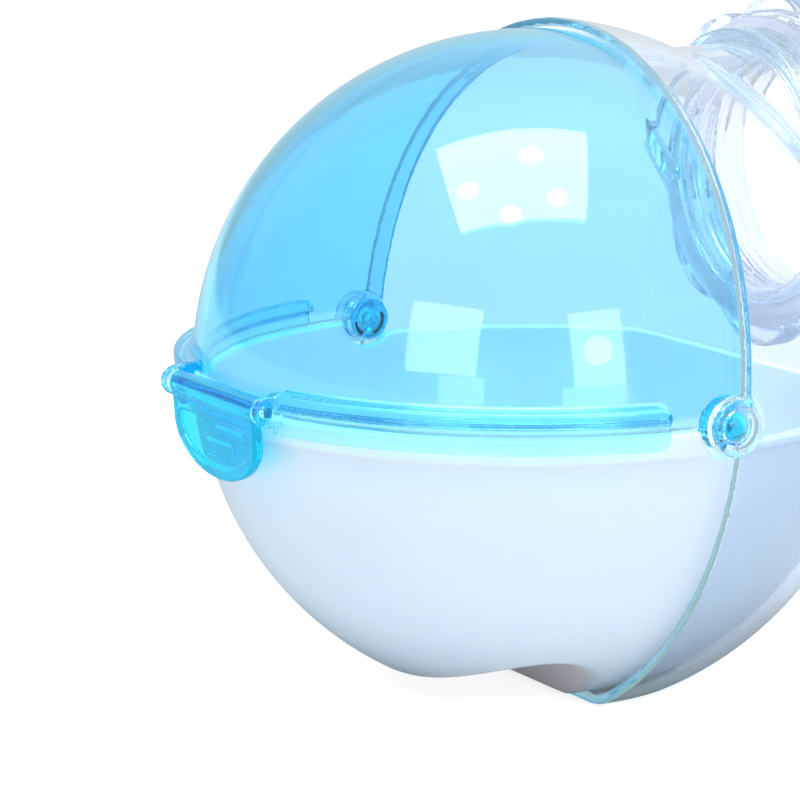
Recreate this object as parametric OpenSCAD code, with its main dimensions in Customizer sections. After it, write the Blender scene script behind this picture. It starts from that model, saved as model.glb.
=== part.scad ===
// Ball-shaped bath house for a small pet, hung on the outside of a cage wall.
// Frame: origin on the resting surface, right below the middle of the ball.
// +Z is up, -Y is the latch side, +Y is the neck that goes through the cage wall.

/* [Ball] */
// Outer radius of the tinted lid
lid_r = 65; // [60:1:72]
// Wall thickness of the lid
lid_wall = 2; // [1.6:0.1:2.4]
// Gap between the lid and the clear shell that it slides under
nest_gap = 0.4; // [0.3:0.1:0.6]
// Wall thickness of the clear rear shell
shell_wall = 1.8; // [1.5:0.1:2.4]
// Height of the ball's middle above the resting surface
ball_z = 60; // [56:0.5:62]
// How far the lid's rear edge reaches in behind the shell's front edge
lid_overlap = 3; // [1:0.5:4]
// How far the shell's front edge leans back at the top
edge_lean = 5.4; // [0:0.2:7]
// How far the shell's front edge lies behind the lid's pivots
edge_y = 1; // [0:0.5:2]

/* [Cage wall side] */
// Distance from the ball's middle to the flat back that meets the cage wall
wall_y = 55; // [53:0.5:57]
// Height of the neck's axis above the ball's middle
neck_up = 33.5; // [32:0.5:36]
// Outer radius of the neck
neck_r = 26; // [24:0.5:27]
// Wall thickness of the neck
neck_wall = 2.4; // [2:0.1:3]
// Outer radius of the collar round the neck
collar_r = 29; // [28:0.5:31]
// Width of the collar along the neck
collar_w = 7; // [5:0.5:9]
// Number of lobes on the lock nut
lobes = 8; // [6:1:10]
// Radius from the neck's axis to the tip of a lobe
lobe_tip_r = 35.6; // [34:0.2:38]
// Thickness of the lock nut
nut_t = 8; // [6:0.5:10]

/* [Bowl] */
// Outer radius of the bowl below its rim band
bowl_r = 64; // [58:0.5:64]
// Wall thickness of the bowl
bowl_wall = 2; // [1.6:0.1:3]
// Height of the thicker band round the bowl's rim
rim_band_h = 5.2; // [4:0.1:8]
// How much lower the rim is behind the lid's pivots
rear_rim_drop = 3.4; // [3:0.1:6]
// Radius of the arched groove under the bowl
groove_r = 13.3; // [10:0.1:14]

/* [Lid rim and latch] */
// Outer radius of the lip that hangs over the bowl's rim
lip_r = 68.4; // [68:0.1:69]
// Angle round the ball that the lip covers
lip_angle = 157; // [120:1:158]
// Width of the latch flap
flap_w = 32; // [24:0.2:34]
// Length of the latch flap below its hinge
flap_len = 15.6; // [14:0.2:17]
// How far the latch flap leans in to follow the bowl
flap_lean = 4; // [2:0.5:6]

/* [Hidden] */
$fn = 96;

big = 200;
tiny = 0.01;

shell_in_r = lid_r + nest_gap;
shell_out_r = shell_in_r + shell_wall;
shell_floor = shell_wall;
part_gap = 0.4;

band_r = lid_r;
rim_drop = 0.4;
bowl_lift = shell_floor + part_gap;
bowl_back = wall_y - shell_wall - part_gap;
groove_y = -19;
groove_drop = 1;

pivot_hole_r = 2.65;
peg_r = 2.6;
peg_head_r = 4.2;
peg_dimple_r = 1.4;
ear_r = 5;
ear_in = lid_r - 2.6;
ear_out = lid_r - 0.4;
boss_r = 5.4;
boss_out = lid_r + 3.2;
boss_dish_r = 3.7;
boss_dish = 1.3;
notch_r = 5.8;

lip_top = 5.2;
lip_bead = 2.2;
lip_bottom = -3;
lip_ledge = 3.2;
lip_in_r = lip_r - 2.2;
skirt_r = lip_r - 0.7;

barrel_r = 2.2;
latch_gap = 0.4;
latch_y = -(lid_r + barrel_r + latch_gap);
latch_z = 1.8;
flap_t = 2.2;
flap_round = 9.4;
flap_in = 0.2;
flap_inset = 0.3;
lug_gap = 0.3;
lug_t = 2.2;
lug_r = 2.8;
pin_r = 1;
pin_hole_r = 1.05;
hook_w = 10;
hook_t = 3;
hook_z = -8.8;
hook_reach = 0.9;
ledge_w = 10;
ledge_t = 1.4;
ledge_root = 0.5;
ledge_y = -65.5;

neck_in_r = neck_r - neck_wall;
spigot_r = neck_r - 0.8;
neck_end = lug_r - latch_y;
neck_root_y = 20;
thread_pitch = 4.5;
thread_depth = 0.9;
thread_start = wall_y + 2.5;
thread_turns = 2;
bore_clear = 0.3;
washer_t = 1.2;
washer_r = 31;
slip = 0.1;
nut_bore_r = neck_r + bore_clear;
washer_y = wall_y + slip;
nut_y = washer_y + washer_t + slip;
lobe_r = 14;
hub_r = 31.5;
nut_hub_t = 2;
lobe_turn = 86;

// Moves what is modelled about the ball's middle up to its place.
module at_ball() translate([0, 0, ball_z]) children();

// A cylinder along X between two places.
module rod_x(r, x0, x1) translate([x0, 0, 0]) rotate([0, 90, 0]) cylinder(r = r, h = x1 - x0);

// A cylinder along Y on the neck's axis between two places.
module rod_y(r, y0, y1) translate([0, y0, neck_up]) rotate([-90, 0, 0]) cylinder(r = r, h = y1 - y0);

// Everything above a height.
module above(z) translate([-big / 2, -big / 2, z]) cube(big);

// Everything behind a distance along Y.
module behind(y) translate([-big / 2, y, -big / 2]) cube(big);

// Everything behind the shell's leaning front edge, moved along Y.
module behind_edge(y) rotate([-edge_lean, 0, 0]) behind(edge_y + y);

// Everything in front of the shell's leaning front edge, moved along Y.
module before_edge(y) rotate([-edge_lean, 0, 0]) before(edge_y + y);

// Everything in front of a distance along Y.
module before(y) translate([-big / 2, y - big, -big / 2]) cube(big);

// The arched groove's cylinder, at a radius.
module groove(r) translate([0, groove_y, -ball_z - groove_drop]) rod_x(r, -big / 2, big / 2);

// The bowl's outer form: a ball with a thicker band at the rim, flat below.
module bowl_body() difference() {
    union() {
        sphere(r = bowl_r);
        intersection() {
            sphere(r = band_r);
            above(-rim_band_h);
        }
        translate([-ledge_w / 2, ledge_y, -rim_band_h - ledge_t])
            cube([ledge_w, -ledge_y - bowl_r + 4, ledge_t + ledge_root]);
    }
    above(-rim_drop);
    mirror([0, 0, 1]) above(ball_z);
    behind(bowl_back);
    intersection() {
        mirror([0, 0, 1]) above(ball_z - bowl_lift);
        behind_edge(-part_gap);
    }
    groove(groove_r);
}

// The bowl's hollow, with a ridge left over the groove.
module bowl_hollow() difference() {
    intersection() {
        sphere(r = bowl_r - bowl_wall);
        above(-ball_z + bowl_lift + bowl_wall);
        before(bowl_back - bowl_wall);
    }
    groove(groove_r + bowl_wall);
}

// White bowl that holds the bathing sand.
module bowl() color("white") at_ball() difference() {
    bowl_body();
    bowl_hollow();
    for (side = [-1, 1])
        rod_x(notch_r, side > 0 ? lid_r - 10 : -lid_r - 10, side > 0 ? lid_r + 10 : -lid_r + 10);
    intersection() {
        above(-rear_rim_drop);
        behind(notch_r - 2);
    }
}

// Clear rear half of the ball, with the pivot bosses, the neck's root and the flat back.
module rear_shell() color("lavender", 0.5) at_ball() difference() {
    union() {
        intersection() {
            sphere(r = shell_out_r);
            behind_edge(0);
            before(wall_y);
        }
        rod_y(neck_r, neck_root_y, wall_y - collar_w + tiny);
        rod_y(collar_r, wall_y - collar_w, wall_y);
        for (side = [-1, 1])
            rod_x(boss_r, side > 0 ? lid_r - 2 : -boss_out, side > 0 ? boss_out : -lid_r + 2);
    }
    intersection() {
        sphere(r = shell_in_r);
        above(-ball_z + shell_floor);
        before(wall_y - shell_wall);
    }
    mirror([0, 0, 1]) above(ball_z);
    rod_y(neck_in_r, neck_root_y - 10, wall_y + 1);
    rod_y(spigot_r, wall_y - shell_wall, wall_y + 1);
    rod_x(pivot_hole_r, -big / 2, big / 2);
    for (side = [-1, 1])
        rod_x(boss_dish_r, side > 0 ? boss_out - boss_dish : -boss_out - 1,
            side > 0 ? boss_out + 1 : -boss_out + boss_dish);
}

// Clear threaded tube that goes through the cage wall.
module neck_tube() color("lavender", 0.6) at_ball() difference() {
    union() {
        rod_y(spigot_r, wall_y - shell_wall, wall_y + tiny);
        rod_y(neck_r - thread_depth, wall_y, neck_end);
        rod_y(neck_r, wall_y, thread_start);
        for (turn = [0:thread_turns - 1])
            rod_y(neck_r, thread_start + (turn + 0.6) * thread_pitch,
                thread_start + (turn + 1) * thread_pitch);
    }
    rod_y(neck_in_r, wall_y - 10, neck_end + 1);
}

// Soft ring between the cage wall and the nut.
module seal_washer() color("white", 0.8) at_ball() difference() {
    rod_y(washer_r, washer_y, washer_y + washer_t);
    rod_y(nut_bore_r, washer_y - 1, washer_y + washer_t + 1);
}

// Clear flower-shaped nut that clamps the cage wall.
module lock_nut() color("lavender", 0.5) at_ball() difference() {
    union() {
        rod_y(hub_r, nut_y, nut_y + nut_t);
        for (lobe = [0:lobes - 1])
            translate([0, nut_y, neck_up])
                rotate([-90, 0, 0])
                    rotate(-lobe_turn + lobe * 360 / lobes)
                        translate([lobe_tip_r - lobe_r, 0, 0])
                            cylinder(r = lobe_r, h = nut_t - nut_hub_t);
    }
    rod_y(nut_bore_r, nut_y - 1, nut_y + nut_t + 1);
}

// The lip over the bowl's rim: a ledge round the lid and a skirt below it, with a gap for the flap.
module lid_lip() difference() {
    rotate(-90 - lip_angle / 2) rotate_extrude(angle = lip_angle)
        polygon([[lid_r - 1.6, lip_ledge], [lip_in_r, lip_ledge], [lip_in_r, lip_bottom],
            [skirt_r, lip_bottom], [skirt_r, lip_bead], [lip_r, lip_bead], [lip_r, lip_top - 0.8],
            [lip_r - 1, lip_top], [lid_r - 1.6, lip_top]]);
    translate([-flap_w / 2 - lug_gap, -big / 2, -big / 2]) cube([flap_w + 2 * lug_gap, big / 2, big]);
}

// One of the two lugs that hold the latch, at its place along X.
module latch_lug(x0) difference() {
    union() {
        translate([0, latch_y, latch_z]) rod_x(lug_r, x0, x0 + lug_t);
        translate([x0, latch_y, latch_z - lug_r]) cube([lug_t, -latch_y - lid_r, 2 * lug_r]);
    }
    translate([0, 0, lip_bottom - 3]) cylinder(r = lip_in_r, h = -lip_bottom + 3);
    sphere(r = lid_r - tiny);
    translate([0, latch_y, latch_z]) rod_x(pin_r, -big / 2, big / 2);
}

// Tinted quarter-ball lid.
module lid() color("deepskyblue", 0.5) at_ball() difference() {
    union() {
        difference() {
            intersection() {
                sphere(r = lid_r);
                above(0);
                before_edge(lid_overlap);
            }
            sphere(r = lid_r - lid_wall);
        }
        lid_lip();
        latch_lug(flap_w / 2 + lug_gap);
        latch_lug(-flap_w / 2 - lug_gap - lug_t);
        for (side = [-1, 1])
            rod_x(ear_r, side > 0 ? ear_in : -ear_out, side > 0 ? ear_out : -ear_in);
    }
    rod_x(peg_r, -big / 2, big / 2);
}

// One hinge peg of the lid, pointing along +X.
module pivot_peg() difference() {
    union() {
        rod_x(peg_r, ear_in - tiny, boss_out - 0.6);
        rod_x(peg_head_r, ear_in - 2, ear_in);
    }
    rod_x(peg_dimple_r, ear_in - 3, ear_in + 1);
}

module pivot_peg_right() color("dodgerblue", 0.7) at_ball() pivot_peg();

module pivot_peg_left() color("dodgerblue", 0.7) at_ball() mirror([1, 0, 0]) pivot_peg();

// The flap's plate, hanging down from its hinge, with a round lower end.
module flap_plate() {
    round_r = flap_w / 2 - flap_inset;
    arc = [for (a = [180:5:360]) [round_r * cos(a), flap_round * sin(a) + flap_round - flap_len]];
    rotate([90, 0, 0]) linear_extrude(flap_t)
        polygon(concat([[-round_r, 0]], arc, [[round_r, 0]]));
}

// Tinted flap that hooks under the bowl's ledge.
module latch_flap() color("deepskyblue", 0.6) at_ball()
    translate([0, latch_y, latch_z]) difference() {
        union() {
            rod_x(barrel_r, -flap_w / 2, flap_w / 2);
            rotate([flap_lean, 0, 0]) {
                translate([0, flap_in, 0]) flap_plate();
                translate([-hook_w / 2, flap_in - 1, hook_z - hook_t])
                    cube([hook_w, hook_reach + 1, hook_t]);
            }
        }
        rod_x(pin_hole_r, -big / 2, big / 2);
    }

// Pin that the flap turns on, held in the lid's lugs.
module latch_pin() color("dodgerblue") at_ball()
    translate([0, latch_y, latch_z])
        rod_x(pin_r, -flap_w / 2 - lug_gap - lug_t, flap_w / 2 + lug_gap + lug_t);

bowl();
rear_shell();
neck_tube();
seal_washer();
lock_nut();
lid();
pivot_peg_left();
pivot_peg_right();
latch_flap();
latch_pin();
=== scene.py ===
"""Looks of the small-pet bath ball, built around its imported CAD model.

Each piece is a closed mesh of a distance field in millimetres about the ball's middle, with moulded
edges and fillets. It takes the place of its CAD node and rides on that node's body.
"""

import math

import bpy
import numpy as np
from mathutils import Euler, Matrix, Vector


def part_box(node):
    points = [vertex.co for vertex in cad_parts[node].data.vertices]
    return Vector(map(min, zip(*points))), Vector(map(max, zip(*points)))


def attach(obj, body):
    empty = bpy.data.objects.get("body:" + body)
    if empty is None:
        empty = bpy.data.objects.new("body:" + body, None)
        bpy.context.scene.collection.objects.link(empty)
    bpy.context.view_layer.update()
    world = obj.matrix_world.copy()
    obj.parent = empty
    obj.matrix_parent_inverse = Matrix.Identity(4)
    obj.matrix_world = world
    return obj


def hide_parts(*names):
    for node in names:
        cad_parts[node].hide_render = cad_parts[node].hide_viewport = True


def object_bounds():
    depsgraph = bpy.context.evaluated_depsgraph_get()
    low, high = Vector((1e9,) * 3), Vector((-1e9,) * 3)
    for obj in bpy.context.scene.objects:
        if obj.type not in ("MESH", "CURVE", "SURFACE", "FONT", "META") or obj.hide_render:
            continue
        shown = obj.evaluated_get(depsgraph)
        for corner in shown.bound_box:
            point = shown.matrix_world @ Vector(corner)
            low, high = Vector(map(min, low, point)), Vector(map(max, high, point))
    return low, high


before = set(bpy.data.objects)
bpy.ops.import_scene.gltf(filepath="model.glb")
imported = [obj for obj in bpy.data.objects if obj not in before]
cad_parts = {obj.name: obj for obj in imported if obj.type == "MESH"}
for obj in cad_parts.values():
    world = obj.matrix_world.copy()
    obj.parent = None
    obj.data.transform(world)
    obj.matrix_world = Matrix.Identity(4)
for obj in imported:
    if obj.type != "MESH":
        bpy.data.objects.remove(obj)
cad_low, cad_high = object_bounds()

MM = 0.001
PEG_LOW, PEG_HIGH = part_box("pivot_peg_right")
BALL = Vector((0, 0, (PEG_LOW.z + PEG_HIGH.z) / 2))
GROUND_Z = cad_low.z
FLOOR_GAP = 0.0004
COARSE = 1.0

# ---------------------------------------------------------------- sizes, in millimetres
LID_R, LID_WALL = 65.0, 2.0
SHELL_IN, SHELL_OUT = 65.4, 67.2
LID_REAR = 3.0
EDGE_LEAN, EDGE_Y = math.radians(5.4), 1.0
BASE_Z = -60.0
WALL_Y = 55.0
SHELL_WALL = 1.8
PART_GAP = 0.4
NECK_UP, NECK_ROOT, BORE_FROM = 33.5, 20.0, 10.0
NECK_R, NECK_IN, COLLAR_R, COLLAR_W = 26.0, 23.6, 29.0, 7.0
SPIGOT_R = 25.2
NECK_END = 70.4
THREAD_START, THREAD_PITCH, THREAD_TURNS, THREAD_DEPTH = 57.5, 4.5, 2, 0.9
SEAM, SEAT_GAP = 0.05, 0.04
WASHER_Y, WASHER_T, WASHER_R = 55.1, 1.2, 31.0
NUT_Y, NUT_T, NUT_BORE, HUB_R, HUB_T = 56.4, 8.0, 26.3, 31.5, 2.0
HUB_GROOVE_IN, HUB_GROOVE_HALF, HUB_GROOVE_DEEP = 2.2, 0.6, 0.7
LOBES, LOBE_R, LOBE_TIP, LOBE_TURN = 8, 14.0, 35.6, 86.0
BOWL_R, BOWL_WALL, BAND_R, BAND_Z, RIM_Z = 64.0, 2.0, 65.0, -5.2, -0.4
REAR_RIM_Z, BOWL_BACK, BOWL_LIFT = -3.4, 52.8, 2.2
NOTCH_R = 5.8
GROOVE_R, GROOVE_Y, GROOVE_Z = 13.3, -19.0, -61.0
LEDGE_W, LEDGE_Y, LEDGE_ROOT, LEDGE_LOW, LEDGE_HIGH = 10.0, -65.5, 60.0, -6.6, -4.7
LIP_R, LIP_IN, SKIRT_R = 68.4, 66.2, 67.7
LIP_TOP, LIP_LEDGE, BEAD_Z, SKIRT_Z = 5.2, 3.2, 2.2, -3.0
LIP_HALF = math.radians(78.5)
LATCH_Y, LATCH_Z, BARREL_R = -67.6, 1.8, 2.2
FLAP_HALF, FLAP_INSET, FLAP_LEN, FLAP_ROUND, FLAP_T, FLAP_IN = 16.0, 0.3, 15.6, 9.4, 2.2, 0.2
FLAP_LEAN = math.radians(4)
PANEL_RIM, PANEL_TOP, PANEL_DEEP = 2.4, 4.2, 0.6
HOOK_W, HOOK_T, HOOK_Z, HOOK_REACH = 10.0, 3.0, -8.8, 0.9
LUG_GAP, LUG_T, LUG_R = 0.3, 2.2, 2.8
PIN_R, PIN_HOLE = 1.0, 1.05
EAR_R, EAR_IN, EAR_OUT = 5.0, 62.4, 64.6
PEG_R, PEG_HOLE, PEG_HEAD_R, PEG_DIMPLE = 2.6, 2.65, 4.2, 1.4
PEG_TIP_IN, PEG_DOME_R = 0.6, 3.6
BOSS_R, BOSS_OUT, BOSS_DISH_R, BOSS_DISH = 5.4, 68.2, 3.7, 1.3

# ---------------------------------------------------------------- distance fields


def meet(r, *fields):
    """What is inside every field, with convex edges rounded to r."""
    out = fields[0]
    for f in fields[1:]:
        out = np.minimum(-r, np.maximum(out, f)) + np.hypot(np.maximum(r + out, 0), np.maximum(r + f, 0))
    return out


def join(r, *fields):
    """What is inside any field, with concave corners filled to r."""
    out = fields[0]
    for f in fields[1:]:
        out = np.maximum(r, np.minimum(out, f)) - np.hypot(np.maximum(r - out, 0), np.maximum(r - f, 0))
    return out


def ball(p, r):
    return np.sqrt(p[0] ** 2 + p[1] ** 2 + p[2] ** 2) - r


def rod_x(p, r, y=0.0, z=0.0):
    return np.hypot(p[1] - y, p[2] - z) - r


def rod_y(p, r):
    return np.hypot(p[0], p[2] - NECK_UP) - r


def slab(v, low, high):
    return np.maximum(low - v, v - high)


def edge(p):
    """How far a point is behind the leaning plane through the pivots."""
    return p[1] * math.cos(EDGE_LEAN) - p[2] * math.sin(EDGE_LEAN)


def gradient(field, points, h=0.02):
    """The field's slope at each point, from four samples round it."""
    slope = np.zeros_like(points)
    for corner in ((1, -1, -1), (-1, -1, 1), (-1, 1, -1), (1, 1, 1)):
        step = np.array(corner, float)
        slope += step * field(tuple((points + h * step).T))[:, None]
    return slope / (4 * h)


def settle(field, points, rounds):
    """The points moved onto the field's surface, with the unit normals there."""
    for _ in range(rounds):
        slope = gradient(field, points)
        size = np.maximum((slope**2).sum(1), 0.2)
        away = np.clip(field(tuple(points.T)), -0.6, 0.6)
        points = points - slope * (away / size)[:, None]
    slope = gradient(field, points)
    return points, slope / np.maximum(np.linalg.norm(slope, axis=1), 1e-9)[:, None]


def surface(field, low, high, step):
    """A closed quad mesh where the field changes sign on a grid between two corners."""
    low, high = np.array(low, float), np.array(high, float)
    counts = np.maximum(np.ceil((high - low) / step).astype(int), 2) + 1
    axes = [np.linspace(low[k], high[k], counts[k]) for k in range(3)]
    spacing = np.array([a[1] - a[0] for a in axes])
    values = np.empty(counts, np.float32)
    y, z = axes[1][None, :, None], axes[2][None, None, :]
    for i in range(0, counts[0], 16):
        x = axes[0][i : i + 16, None, None]
        values[i : i + 16] = field(tuple(np.broadcast_arrays(x, y, z)))
    inside = values < 0
    shape = counts - 1
    crossed = np.zeros(shape, bool)
    first = inside[:-1, :-1, :-1]
    corners = [(a, b, c) for a in (0, 1) for b in (0, 1) for c in (0, 1)]
    for a, b, c in corners[1:]:
        crossed |= inside[a : a + shape[0], b : b + shape[1], c : c + shape[2]] != first
    cells = np.argwhere(crossed)
    number = np.full(shape, -1, np.int64)
    number[tuple(cells.T)] = np.arange(len(cells))
    total, hits = np.zeros((len(cells), 3)), np.zeros(len(cells))
    for a in corners:
        for k in range(3):
            if a[k]:
                continue
            b = tuple(a[m] + (m == k) for m in range(3))
            va, vb = values[tuple((cells + a).T)], values[tuple((cells + b).T)]
            cut = (va < 0) != (vb < 0)
            share = np.where(cut, va / np.where(cut, va - vb, 1), 0)
            place = np.tile(np.array(a, float), (len(cells), 1))
            place[:, k] = share
            total[cut] += place[cut]
            hits += cut
    points = low + (cells + total / hits[:, None]) * spacing
    quads = []
    for k in range(3):
        m, n = (k + 1) % 3, (k + 2) % 3
        near = [slice(1, -1)] * 3
        far = [slice(1, -1)] * 3
        near[k], far[k] = slice(0, -1), slice(1, None)
        a, b = inside[tuple(near)], inside[tuple(far)]
        edges = np.argwhere(a != b)
        rising = a[tuple(edges.T)]
        edges = edges + [0 if q == k else 1 for q in range(3)]
        ring = []
        for dm, dn in ((0, 0), (-1, 0), (-1, -1), (0, -1)):
            cell = edges.copy()
            cell[:, m] += dm
            cell[:, n] += dn
            ring.append(number[tuple(cell.T)])
        quad = np.stack(ring, 1)
        quad[~rising] = quad[~rising][:, ::-1]
        quads.append(quad)
    return points, np.concatenate(quads)


def piece(name, node, body, material, field, low, high, step, keep):
    """One object from a distance field on a grid between two corners, in place of its CAD node.

    keep is the share of triangles left after thinning the smooth parts.
    """
    points, quads = surface(field, low, high, step * COARSE)
    points, _ = settle(field, points, 3)
    mesh = bpy.data.meshes.new(name)
    mesh.vertices.add(len(points))
    mesh.vertices.foreach_set("co", points.astype(np.float32).ravel())
    mesh.loops.add(quads.size)
    mesh.loops.foreach_set("vertex_index", quads.astype(np.int32).ravel())
    mesh.polygons.add(len(quads))
    mesh.polygons.foreach_set("loop_start", np.arange(0, quads.size, 4, dtype=np.int32))
    mesh.update(calc_edges=True)
    obj = bpy.data.objects.new(name, mesh)
    bpy.context.scene.collection.objects.link(obj)
    thin = obj.modifiers.new("thin", "DECIMATE")
    thin.ratio = keep
    bpy.context.view_layer.update()
    mesh = bpy.data.meshes.new_from_object(obj.evaluated_get(bpy.context.evaluated_depsgraph_get()))
    obj.modifiers.clear()
    obj.data = mesh
    mesh.name = name
    points = np.empty(len(mesh.vertices) * 3, np.float32)
    mesh.vertices.foreach_get("co", points)
    points, normals = settle(field, points.reshape(-1, 3).astype(float), 2)
    place = points * MM + np.array(BALL)
    mesh.vertices.foreach_set("co", place.astype(np.float32).ravel())
    mesh.polygons.foreach_set("use_smooth", np.ones(len(mesh.polygons), bool))
    mesh.update()
    mesh.normals_split_custom_set_from_vertices(normals.astype(np.float32))
    mesh.materials.append(material)
    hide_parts(node)
    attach(obj, body)


# ---------------------------------------------------------------- shapes of the parts


def bowl_field(p):
    x, y, z = p
    band = meet(0.5, ball(p, BAND_R), BAND_Z - z)
    across = slab(x, -LEDGE_W / 2, LEDGE_W / 2)
    ledge = meet(0.5, across, slab(z, LEDGE_LOW, LEDGE_HIGH), slab(y, LEDGE_Y, -LEDGE_ROOT))
    outer = join(0.5, ball(p, BOWL_R), band, ledge)
    outer = meet(1.0, outer, BASE_Z - z, y - BOWL_BACK)
    step = meet(0.6, z - (BASE_Z + BOWL_LIFT), EDGE_Y - PART_GAP - edge(p))
    outer = meet(0.8, outer, -step)
    outer = meet(1.0, outer, -rod_x(p, GROOVE_R, GROOVE_Y, GROOVE_Z))
    floor = BASE_Z + BOWL_LIFT + BOWL_WALL
    inner = meet(2.5, ball(p, BOWL_R - BOWL_WALL), floor - z, y - BOWL_BACK + BOWL_WALL)
    inner = meet(1.5, inner, -rod_x(p, GROOVE_R + BOWL_WALL, GROOVE_Y, GROOVE_Z))
    wall = np.maximum(outer, -inner)
    rear = meet(1.2, REAR_RIM_Z - z, NOTCH_R - 2 - y)
    notch = rod_x(p, NOTCH_R)
    wall = meet(0.7, wall, z - RIM_Z)
    return meet(0.7, wall, -join(1.0, rear, notch))


def shell_field(p):
    x, y, z = p
    outer = meet(1.0, ball(p, SHELL_OUT), BASE_Z - z)
    outer = meet(1.0, outer, y - WALL_Y)
    boss = meet(0.5, rod_x(p, BOSS_R), slab(np.abs(x), LID_R - 2, BOSS_OUT))
    front = EDGE_Y - edge(p)
    wall_front = meet(0.1, outer, front)
    neck = np.maximum(rod_y(p, NECK_R), slab(y, NECK_ROOT, WALL_Y - 1))
    collar = meet(0.8, rod_y(p, COLLAR_R), slab(y, WALL_Y - COLLAR_W, WALL_Y))
    body = join(1.6, wall_front, neck)
    body = join(0.8, body, collar)
    inner = meet(1.0, ball(p, SHELL_IN), BASE_Z + SHELL_WALL - z)
    inner = meet(1.0, inner, y - WALL_Y + SHELL_WALL)
    shell = np.maximum(body, -inner)
    shell = meet(0.85, shell, front)
    shell = join(0.7, shell, np.maximum(boss, -ball(p, SHELL_IN)))
    bore = np.maximum(rod_y(p, NECK_IN), BORE_FROM - y)
    shell = meet(0.8, shell, -bore)
    seat = np.maximum(rod_y(p, SPIGOT_R), WALL_Y - SHELL_WALL - y)
    shell = meet(0.1, shell, -seat)
    dish = meet(0.3, rod_x(p, BOSS_DISH_R), BOSS_OUT - BOSS_DISH - np.abs(x))
    shell = meet(0.4, shell, -dish)
    return meet(0.2, shell, -rod_x(p, PEG_HOLE))


def neck_field(p):
    x, y, z = p
    turn = (y - THREAD_START) / THREAD_PITCH + np.arctan2(z - NECK_UP, x) / (2 * math.pi)
    saw = np.abs(turn - np.floor(turn) - 0.5) * 2
    height = np.clip((saw - 0.38) / 0.34, 0, 1)
    height = height * height * (3 - 2 * height)
    end = THREAD_START + THREAD_PITCH * (THREAD_TURNS + 0.4)
    fade = np.clip((y - THREAD_START) / 1.5, 0, 1) * np.clip((end - y) / 2.5, 0, 1)
    core = rod_y(p, NECK_R - THREAD_DEPTH) - 0.97 * THREAD_DEPTH * height * fade
    plain = meet(0.3, rod_y(p, NECK_R), slab(y, WALL_Y + SEAM, THREAD_START))
    tube = meet(0.7, core * 0.9, slab(y, WALL_Y + SEAM, NECK_END))
    tube = join(0.3, tube, plain)
    spigot = meet(0.2, rod_y(p, SPIGOT_R - SEAT_GAP), slab(y, WALL_Y - SHELL_WALL + SEAT_GAP, WALL_Y + 1))
    tube = join(0.1, tube, spigot)
    return meet(0.6, tube, -rod_y(p, NECK_IN))


def washer_field(p):
    ring = np.maximum(rod_y(p, WASHER_R), -rod_y(p, NUT_BORE))
    return meet(0.45, ring, slab(p[1], WASHER_Y, WASHER_Y + WASHER_T))


def nut_field(p):
    x, y, z = p
    petals = None
    for k in range(LOBES):
        a = math.radians(LOBE_TURN + k * 360 / LOBES)
        reach = LOBE_TIP - LOBE_R
        petal = np.hypot(x - reach * math.cos(a), z - NECK_UP - reach * math.sin(a)) - LOBE_R
        petals = petal if petals is None else join(0.6, petals, petal)
    petals = meet(1.1, petals, slab(y, NUT_Y, NUT_Y + NUT_T - HUB_T))
    hub = meet(0.9, rod_y(p, HUB_R), slab(y, NUT_Y, NUT_Y + NUT_T))
    nut = join(0.8, petals, hub)
    groove = np.abs(rod_y(p, HUB_R - HUB_GROOVE_IN)) - HUB_GROOVE_HALF
    nut = meet(0.3, nut, -np.maximum(groove, NUT_Y + NUT_T - HUB_GROOVE_DEEP - y))
    turn = (y - NUT_Y) / THREAD_PITCH + np.arctan2(z - NECK_UP, x) / (2 * math.pi)
    saw = np.abs(turn - np.floor(turn) - 0.5) * 2
    deep = np.clip((saw - 0.35) / 0.4, 0, 1)
    bore = rod_y(p, NUT_BORE) - 0.8 * deep * deep * (3 - 2 * deep)
    return meet(0.5, nut, -bore * 0.9)


def lid_field(p):
    x, y, z = p
    rho = np.hypot(x, y)
    wall = np.maximum(ball(p, LID_R), -ball(p, LID_R - LID_WALL))
    dome = meet(0.6, wall, edge(p) - EDGE_Y - LID_REAR)
    dome = meet(0.6, dome, -z)
    side = (np.abs(np.arctan2(x, -y)) - LIP_HALF) * rho
    slot = FLAP_HALF + LUG_GAP
    ledge = meet(0.6, slab(rho, LID_R - 1.2, LIP_R), slab(z, LIP_LEDGE, LIP_TOP))
    bead = meet(0.5, slab(rho, LIP_IN, LIP_R), slab(z, BEAD_Z, LIP_TOP - 0.5))
    skirt = meet(0.5, slab(rho, LIP_IN, SKIRT_R), slab(z, SKIRT_Z, LIP_LEDGE + 0.5))
    lip = join(0.35, ledge, bead, skirt)
    outline = meet(2.4, side, z - LIP_TOP, SKIRT_Z - z)
    lip = meet(0.6, lip, outline, slot - np.abs(x), -(ball(p, LID_R - 1.0)))
    lugs = join(
        0.6,
        rod_x(p, LUG_R, LATCH_Y, LATCH_Z),
        np.maximum(slab(y, LATCH_Y, -LID_R), slab(z, LATCH_Z - LUG_R, LATCH_Z + LUG_R)),
    )
    lugs = meet(0.5, lugs, slab(np.abs(x), slot, slot + LUG_T))
    lugs = meet(0.3, lugs, -np.maximum(rho - LIP_IN, z), -ball(p, LID_R - 0.6))
    lid = join(0.8, dome, lip)
    lid = join(0.7, lid, lugs)
    lid = meet(0.15, lid, -rod_x(p, PIN_R, LATCH_Y, LATCH_Z))
    ear = meet(0.4, rod_x(p, EAR_R), slab(np.abs(x), EAR_IN, EAR_OUT))
    lid = join(0.5, lid, ear)
    return meet(0.2, lid, -rod_x(p, PEG_R + 0.02))


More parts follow.
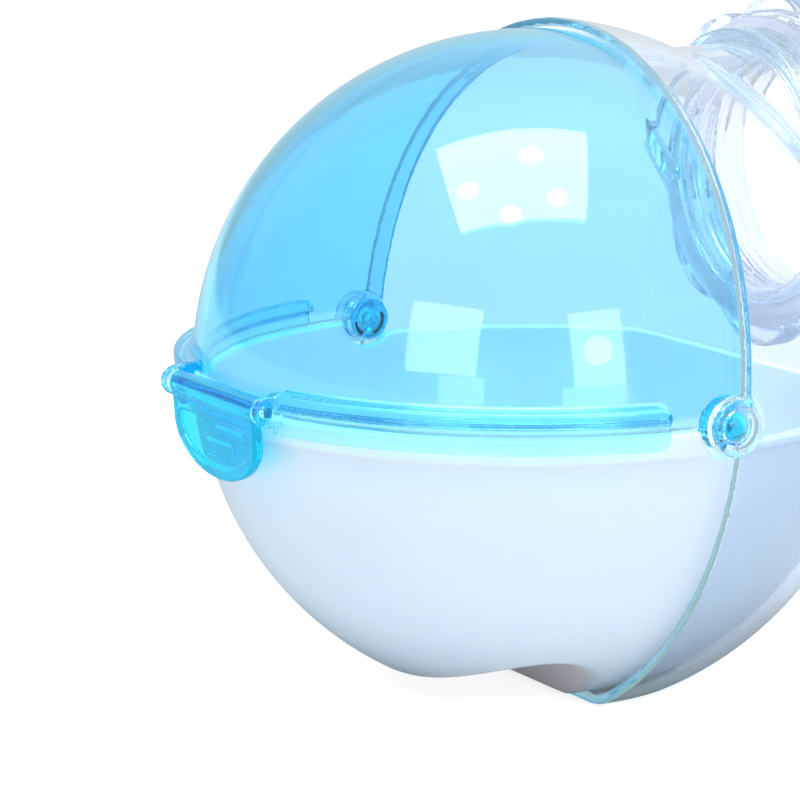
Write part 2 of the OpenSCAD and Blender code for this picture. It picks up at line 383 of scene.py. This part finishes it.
def peg_field(p):
    x = p[0]
    tip = BOSS_OUT - PEG_TIP_IN
    dome = np.sqrt((x - (tip - PEG_DOME_R)) ** 2 + p[1] ** 2 + p[2] ** 2) - PEG_DOME_R
    shaft = meet(0.3, rod_x(p, PEG_R), np.maximum(EAR_IN - 1 - x, np.where(x > tip - 3, dome, -1.0)))
    head = meet(0.5, rod_x(p, PEG_HEAD_R), slab(x, EAR_IN - 2, EAR_IN))
    dimple = np.maximum(rod_x(p, PEG_DIMPLE), x - EAR_IN - 1)
    return meet(0.3, join(0.2, shaft, head), -dimple)


def flap_field(p):
    x = p[0]
    y, z = p[1] - LATCH_Y, p[2] - LATCH_Z
    c, s = math.cos(FLAP_LEAN), math.sin(FLAP_LEAN)
    u, v = c * y + s * z, -s * y + c * z
    half = FLAP_HALF - FLAP_INSET
    low = FLAP_ROUND - FLAP_LEN
    far = np.hypot(x / half, (v - low) / FLAP_ROUND)
    slope = np.hypot(x / half**2, (v - low) / FLAP_ROUND**2)
    outline = np.where(v < low, far * (far - 1) / np.maximum(slope, 1e-6), np.abs(x) - half)
    outline = np.maximum(outline, v)
    plate = meet(0.7, outline, slab(u, FLAP_IN - FLAP_T, FLAP_IN))
    panel = meet(0.4, meet(1.0, outline + PANEL_RIM, v + PANEL_TOP), u - (FLAP_IN - FLAP_T + PANEL_DEEP))
    plate = meet(0.3, plate, -panel)
    hook = meet(
        0.5,
        slab(x, -HOOK_W / 2, HOOK_W / 2),
        slab(v, HOOK_Z - HOOK_T, HOOK_Z),
        slab(u, FLAP_IN - 1, FLAP_IN + HOOK_REACH),
    )
    barrel = meet(0.5, np.hypot(y, z) - BARREL_R, slab(x, -FLAP_HALF, FLAP_HALF))
    flap = join(0.8, join(0.6, plate, hook), barrel)
    return meet(0.15, flap, -(np.hypot(y, z) - PIN_HOLE))


def pin_field(p):
    end = FLAP_HALF + LUG_GAP + LUG_T
    return meet(0.4, rod_x(p, PIN_R - 0.02, LATCH_Y, LATCH_Z), slab(p[0], -end, end))


# ---------------------------------------------------------------- materials

PLASTIC_IOR = 1.49
# past these bounces a clear wall gives off a painted glow in place of the light it would meet
TRACED = 2  # mirror-like bounces that are followed before a clear wall shines by itself


def add(nodes, kind, **inputs):
    """A node with its plain inputs set, or linked where a value is another node's output."""
    made = nodes.new(kind)
    for name, value in inputs.items():
        socket = made.inputs[name.replace("_", " ")]
        if isinstance(value, bpy.types.NodeSocket):
            nodes.id_data.links.new(value, socket)
        else:
            socket.default_value = value
    return made


def noise(nodes, scale, detail=3.0, stretch=(1, 1, 1), rough=0.5):
    """Noise in object space, in metres, whose value is between 0 and 1."""
    coordinates = nodes.new("ShaderNodeTexCoord").outputs["Object"]
    mapping = add(nodes, "ShaderNodeMapping", Vector=coordinates, Scale=stretch)
    made = add(nodes, "ShaderNodeTexNoise", Vector=mapping.outputs[0], Scale=scale, Detail=detail)
    made.inputs["Roughness"].default_value = rough
    return made.outputs["Fac"]


def ramp(nodes, value, low, high, out_low, out_high):
    """The value mapped from one range to another, and held inside it."""
    made = nodes.new("ShaderNodeMapRange")
    for k, v in enumerate((value, low, high, out_low, out_high)):
        if isinstance(v, bpy.types.NodeSocket):
            nodes.id_data.links.new(v, made.inputs[k])
        else:
            made.inputs[k].default_value = v
    return made.outputs[0]


def blend(nodes, share, first, second):
    """A colour between two, by a share from 0 to 1."""
    made = nodes.new("ShaderNodeMix")
    made.data_type = "RGBA"
    nodes.id_data.links.new(share, made.inputs["Factor"])
    for k, colour in ((6, first), (7, second)):
        if isinstance(colour, bpy.types.NodeSocket):
            nodes.id_data.links.new(colour, made.inputs[k])
        else:
            made.inputs[k].default_value = (*colour, 1)
    return made.outputs[2]


def along(nodes, axis, low, high):
    """A share from 0 to 1 between two places along X, Y or Z, in metres."""
    parts = add(nodes, "ShaderNodeSeparateXYZ", Vector=nodes.new("ShaderNodeTexCoord").outputs["Object"])
    return ramp(nodes, parts.outputs[axis], low, high, 0.0, 1.0)


def fresh(name):
    material = bpy.data.materials.new(name)
    material.use_nodes = True
    material.node_tree.nodes.clear()
    return material, material.node_tree.nodes, material.node_tree.links


def clear_plastic(
    name, colour, shadow, painted_glow, low_colour=None, rear_painted_glow=None, depth=(1, 1, 1), density=0.0,
    roughness=0.03, wave=0.06, stretch=(1, 1, 1),
):
    """Moulded see-through plastic with slight mould waviness, faint scuffs and haze.

    It bends light, and lets lamps through with the tint shadow. piped is a painted glow, no lamp, that a wall
    gives off where a ray has gone past the mirror-like bounces that are traced, in place of the light it
    would meet there.
    low_colour is the tint of the lid's lip, and rear_painted_glow a brighter painted glow on the shell's rear
    wall.
    depth and density are what the plastic soaks up.
    """
    material, nodes, links = fresh(name)
    material.cycles.emission_sampling = "NONE"
    out = nodes.new("ShaderNodeOutputMaterial")
    waves = noise(nodes, 55.0, 2.0, stretch)
    fine = noise(nodes, 900.0, 3.0)
    scuffs = noise(nodes, 160.0, 5.0, (1.0, 1.0, 0.25), 0.6)
    bump = add(nodes, "ShaderNodeBump", Strength=wave, Distance=0.0004, Height=waves)
    grain = add(nodes, "ShaderNodeBump", Strength=0.03, Distance=0.00004, Height=fine, Normal=bump.outputs[0])
    matt = ramp(nodes, scuffs, 0.52, 0.78, roughness, roughness + 0.05)
    glass = add(nodes, "ShaderNodeBsdfPrincipled", Roughness=matt, Normal=grain.outputs[0])
    glass.inputs["Base Color"].default_value = (*colour, 1)
    glass.inputs["IOR"].default_value = PLASTIC_IOR
    glass.inputs["Transmission Weight"].default_value = 1.0
    if low_colour:
        above_lip = along(nodes, 2, BALL.z + 0.0016, BALL.z + 0.0026)
        links.new(blend(nodes, above_lip, low_colour, colour), glass.inputs["Base Color"])
    path = nodes.new("ShaderNodeLightPath")
    deep = nodes.new("ShaderNodeMath")
    deep.operation = "GREATER_THAN"
    links.new(path.outputs["Glossy Depth"], deep.inputs[0])
    deep.inputs[1].default_value = TRACED + 0.5
    # painted light: the shell's rear wall glows brighter than its front edge, by place along Y
    if rear_painted_glow:
        rear = along(nodes, 1, 0.010, 0.030)
        links.new(blend(nodes, rear, painted_glow, rear_painted_glow), glass.inputs["Emission Color"])
    else:
        glass.inputs["Emission Color"].default_value = (*painted_glow, 1)
    # painted glow: the wall emits its glow colour once a ray is past the traced bounces
    links.new(deep.outputs[0], glass.inputs["Emission Strength"])
    through = add(nodes, "ShaderNodeBsdfTransparent", Color=(*shadow, 1))
    mix = nodes.new("ShaderNodeMixShader")
    links.new(path.outputs["Is Shadow Ray"], mix.inputs[0])
    links.new(glass.outputs[0], mix.inputs[1])
    links.new(through.outputs[0], mix.inputs[2])
    links.new(mix.outputs[0], out.inputs["Surface"])
    absorb = add(nodes, "ShaderNodeVolumeAbsorption", Color=(*depth, 1), Density=density)
    links.new(absorb.outputs[0], out.inputs["Volume"])
    return material


def white_plastic():
    """Satin moulded white plastic with a cool cast, fine grain, faint flow marks and a few scuffs; its inner
    face is painted lighter to stand in for the light inside the bowl.
    """
    material, nodes, links = fresh("white_plastic_satin")
    out = nodes.new("ShaderNodeOutputMaterial")
    flow = noise(nodes, 30.0, 3.0, (1.0, 1.0, 0.4))
    grain = noise(nodes, 1500.0, 4.0)
    mottle = noise(nodes, 260.0, 4.0)
    scuffs = noise(nodes, 120.0, 6.0, (1.0, 1.0, 0.2), 0.65)
    colour = blend(nodes, ramp(nodes, flow, 0.3, 0.7, 0.0, 1.0), (0.65, 0.75, 0.855), (0.675, 0.775, 0.87))
    # painted light: the bowl's inner face, nearer the middle than 63 mm, gets a lighter, warmer colour in
    # place of the light that reaches inside through the lid
    place = nodes.new("ShaderNodeTexCoord").outputs["Object"]
    depth = add(nodes, "ShaderNodeVectorMath", Vector=place)
    depth.operation = "DISTANCE"
    depth.inputs[1].default_value = BALL
    inside = ramp(nodes, depth.outputs["Value"], 0.0634, 0.0626, 0.0, 1.0)
    colour = blend(nodes, inside, colour, (0.80, 0.77, 0.82))
    rough = ramp(nodes, scuffs, 0.3, 0.8, 0.30, 0.36)
    bump = add(nodes, "ShaderNodeBump", Strength=0.10, Distance=0.0002, Height=mottle)
    fine = add(nodes, "ShaderNodeBump", Strength=0.08, Distance=0.00005, Height=grain, Normal=bump.outputs[0])
    shader = add(nodes, "ShaderNodeBsdfPrincipled", Base_Color=colour, Roughness=rough)
    links.new(fine.outputs[0], shader.inputs["Normal"])
    shader.inputs["IOR"].default_value = PLASTIC_IOR
    shader.inputs["Subsurface Weight"].default_value = 0.15
    shader.inputs["Subsurface Radius"].default_value = (0.004, 0.005, 0.006)
    shader.inputs["Subsurface Scale"].default_value = 1.0
    links.new(shader.outputs[0], out.inputs["Surface"])
    return material


# the fourth colour of each clear plastic is its painted glow, not a tint
LID_PLASTIC = clear_plastic(
    "tinted_lid_plastic", (0.49, 0.785, 0.98), (0.99, 0.995, 1.0), (0.02, 0.22, 0.30), (0.82, 0.94, 0.985),
    depth=(0.20, 0.95, 0.99), density=185.0, roughness=0.02,
)
FLAP_PLASTIC = clear_plastic(
    "tinted_latch_plastic", (0.03, 0.74, 0.96), (0.85, 0.95, 1.0), (0.004, 0.20, 0.28),
    depth=(0.15, 0.95, 0.99), density=110.0, roughness=0.03,
)
PEG_PLASTIC = clear_plastic(
    "deep_blue_peg_plastic", (0.15, 0.76, 0.94), (0.70, 0.93, 1.0), (0.005, 0.14, 0.20),
    depth=(0.10, 0.90, 0.98), density=170.0, roughness=0.05,
)
SHELL_PLASTIC = clear_plastic(
    "clear_shell_plastic", (0.89, 0.918, 0.985), (0.98, 0.987, 1.0), (0.15, 0.20, 0.20),
    rear_painted_glow=(0.28, 0.31, 0.36),
    depth=(0.50, 0.78, 0.83), density=48.0, roughness=0.02, wave=0.10, stretch=(1.0, 1.0, 0.22),
)
NECK_PLASTIC = clear_plastic(
    "clear_neck_plastic", (0.90, 0.925, 0.985), (0.98, 0.987, 1.0), (0.16, 0.18, 0.21),
    depth=(0.62, 0.72, 0.82), density=30.0, roughness=0.03,
)
BOWL_PLASTIC = white_plastic()
SEAL = clear_plastic(
    "soft_seal_milky", (0.93, 0.95, 0.985), (0.96, 0.97, 0.99), (0.20, 0.22, 0.25),
    depth=(0.85, 0.90, 0.95), density=20.0, roughness=0.30,
)

# ---------------------------------------------------------------- the pieces

piece("bath_bowl", "bowl", "house", BOWL_PLASTIC, bowl_field,
      (-66, -67, -61), (66, 54, 0.6), 0.55, 0.45)
piece("clear_shell", "rear_shell", "house", SHELL_PLASTIC, shell_field,
      (-69.2, -6.6, -61), (69.2, 56.2, 68.4), 0.5, 0.35)
piece("threaded_neck", "neck_tube", "house", NECK_PLASTIC, neck_field,
      (-27, 52.6, 6.5), (27, 71.2, 60.5), 0.42, 0.6)
piece("seal_ring", "seal_washer", "washer", SEAL, washer_field,
      (-32, 54.4, 1.5), (32, 57, 65.5), 0.4, 0.4)
piece("lobed_nut", "lock_nut", "nut", NECK_PLASTIC, nut_field,
      (-37, 55.6, -3.5), (37, 65, 70.5), 0.45, 0.6)
piece("tinted_lid", "lid", "lid", LID_PLASTIC, lid_field,
      (-69.6, -71.4, -4), (69.6, 12, 66), 0.45, 0.4)
piece("pivot_peg_cap_right", "pivot_peg_right", "lid", PEG_PLASTIC, peg_field,
      (59.4, -5, -5), (68.6, 5, 5), 0.2, 0.6)
piece("pivot_peg_cap_left", "pivot_peg_left", "lid", PEG_PLASTIC,
      lambda p: peg_field((-p[0], p[1], p[2])), (-68.6, -5, -5), (-59.4, 5, 5), 0.2, 0.6)
piece("latch_flap_panel", "latch_flap", "latch", FLAP_PLASTIC, flap_field,
      (-16.9, -71, -15), (16.9, -62.8, 4.8), 0.28, 0.6)
piece("latch_hinge_pin", "latch_pin", "lid", PEG_PLASTIC, pin_field,
      (-19.1, LATCH_Y - 1.7, LATCH_Z - 1.7), (19.1, LATCH_Y + 1.7, LATCH_Z + 1.7), 0.2, 0.5)

# ---------------------------------------------------------------- floor, light and camera


def sweep():
    """A pale floor that is a wide flat sheet far past the frame."""
    size, rings = 12.0, 24
    verts, faces = [], []
    for i in range(rings + 1):
        for j in range(rings + 1):
            verts.append((size * (i / rings - 0.5), size * (j / rings - 0.5), GROUND_Z - FLOOR_GAP))
    for i in range(rings):
        for j in range(rings):
            a = i * (rings + 1) + j
            faces.append((a, a + rings + 1, a + rings + 2, a + 1))
    mesh = bpy.data.meshes.new("floor")
    mesh.from_pydata(verts, [], faces)
    obj = bpy.data.objects.new("floor", mesh)
    bpy.context.scene.collection.objects.link(obj)
    material, nodes, links = fresh("floor_white")
    out = nodes.new("ShaderNodeOutputMaterial")
    tone = ramp(nodes, noise(nodes, 2.0), 0.3, 0.7, 0.70, 0.72)
    spread = nodes.new("ShaderNodeVectorMath")
    spread.operation = "LENGTH"
    links.new(nodes.new("ShaderNodeTexCoord").outputs["Object"], spread.inputs[0])
    glow = ramp(nodes, spread.outputs["Value"], 0.15, 1.1, 0.05, 0.50)
    shader = add(nodes, "ShaderNodeBsdfPrincipled", Roughness=0.9)
    shader.inputs["Emission Color"].default_value = (1, 1, 1, 1)
    path = nodes.new("ShaderNodeLightPath").outputs
    mirrored = nodes.new("ShaderNodeMath")  # dimmer where a glossy part mirrors it, so tints stay deep
    mirrored.operation = "MULTIPLY"
    links.new(path["Is Glossy Ray"], mirrored.inputs[0])
    links.new(path["Is Reflection Ray"], mirrored.inputs[1])
    links.new(ramp(nodes, mirrored.outputs[0], 0.0, 1.0, tone, 0.25), shader.inputs["Base Color"])
    seen = add(nodes, "ShaderNodeMix", Factor=path["Is Camera Ray"])
    links.new(glow, seen.inputs[2])
    seen.inputs[3].default_value = 0.78
    links.new(seen.outputs[0], shader.inputs["Emission Strength"])
    links.new(shader.outputs[0], out.inputs["Surface"])
    mesh.materials.append(material)


def lamp(name, place, width, height, glow, spin=0.0, lights=True, shape="RECTANGLE"):
    """A soft panel that faces the ball, as bright as glow beside the white backdrop.

    Where lights is False, it shows in gloss only.
    """
    data = bpy.data.lights.new(name, "AREA")
    data.shape = shape
    data.size, data.size_y = width, height
    data.energy = glow * math.pi * width * height
    if lights:
        data.color = (0.92, 0.965, 1.0)
    obj = bpy.data.objects.new(name, data)
    bpy.context.scene.collection.objects.link(obj)
    obj.location = place
    facing = (BALL - Vector(place)).to_track_quat("-Z", "Y")
    obj.rotation_euler = (facing @ Euler((0, 0, spin)).to_quaternion()).to_euler()
    obj.visible_diffuse = lights


lamp("overhead_softbox", (0.153, -0.164, 0.938), 0.63, 0.58, 8.0, math.radians(18))
lamp("front_softbox", (0.449, -0.847, 0.374), 0.42, 0.38, 4.0, 0.0, False)
lamp("side_softbox", (0.96, -0.178, 0.337), 0.30, 0.42, 4.0, 0.0, False)
lamp("front_table_glow", (0.607, -0.857, 0.089), 0.27, 0.20, 2.0, 0.0, False)
lamp("side_table_glow", (1.019, -0.22, 0.06), 0.38, 0.15, 2.0, 0.0, False)
BULBS = (0.092, -0.398, 0.945), (0.356, -0.34, 0.919), (0.396, -0.096, 0.958), (0.106, -0.06, 1.028)
for k, place in enumerate(BULBS):
    lamp(f"bulb_{k}", place, 0.11, 0.11, 5.0, 0.0, False, "ELLIPSE")
lamp("side_bulb", (0.952, -0.178, 0.324), 0.16, 0.16, 4.0, 0.0, False, "ELLIPSE")

sweep()

# The room is bright on the lamps' side and dimmer on the other, which gives the clear edges their grey.
world = bpy.data.worlds.new("studio")
world.use_nodes = True
bpy.context.scene.world = world
sky, sky_links = world.node_tree.nodes, world.node_tree.links
sky.clear()
towards = add(sky, "ShaderNodeVectorMath")
towards.operation = "DOT_PRODUCT"
sky_links.new(sky.new("ShaderNodeTexCoord").outputs["Generated"], towards.inputs[0])
towards.inputs[1].default_value = (0.38, 0.68, 0.63)
room = ramp(sky, towards.outputs["Value"], -1.0, 1.0, 0.25, 1.20)
seen = sky.new("ShaderNodeLightPath").outputs["Is Camera Ray"]
strength = sky.new("ShaderNodeMix")
sky_links.new(seen, strength.inputs["Factor"])
sky_links.new(room, strength.inputs[2])
strength.inputs[3].default_value = 1.0
background = add(sky, "ShaderNodeBackground", Color=(0.985, 0.99, 1.0, 1), Strength=strength.outputs[0])
sky_links.new(background.outputs[0], sky.new("ShaderNodeOutputWorld").inputs["Surface"])

AZIMUTH, ELEVATION = math.radians(56.8), math.radians(11.2)
DISTANCE = 0.65
LENS, SENSOR = 151.3, 36
# the ball's middle sits right of the frame's middle and a little above it, as slopes off the axis
OFF_RIGHT, OFF_UP = 0.03837, 0.01011

right = Vector((math.cos(AZIMUTH), math.sin(AZIMUTH), 0))
level = Vector((math.sin(AZIMUTH), -math.cos(AZIMUTH), 0))
back = level * math.cos(ELEVATION) + Vector((0, 0, math.sin(ELEVATION)))
up = back.cross(right)

camera_data = bpy.data.cameras.new("camera")
camera_data.lens = LENS
camera_data.sensor_width = SENSOR
camera = bpy.data.objects.new("camera", camera_data)
bpy.context.scene.collection.objects.link(camera)
bpy.context.scene.camera = camera
camera.location = BALL + back * DISTANCE
view = (-back - right * OFF_RIGHT - up * OFF_UP).normalized()
side = view.cross(up).normalized()
top = side.cross(view)
camera.matrix_world = Matrix.Translation(camera.location) @ Matrix((side, top, -view)).transposed().to_4x4()

bpy.context.scene.view_settings.view_transform = "Standard"
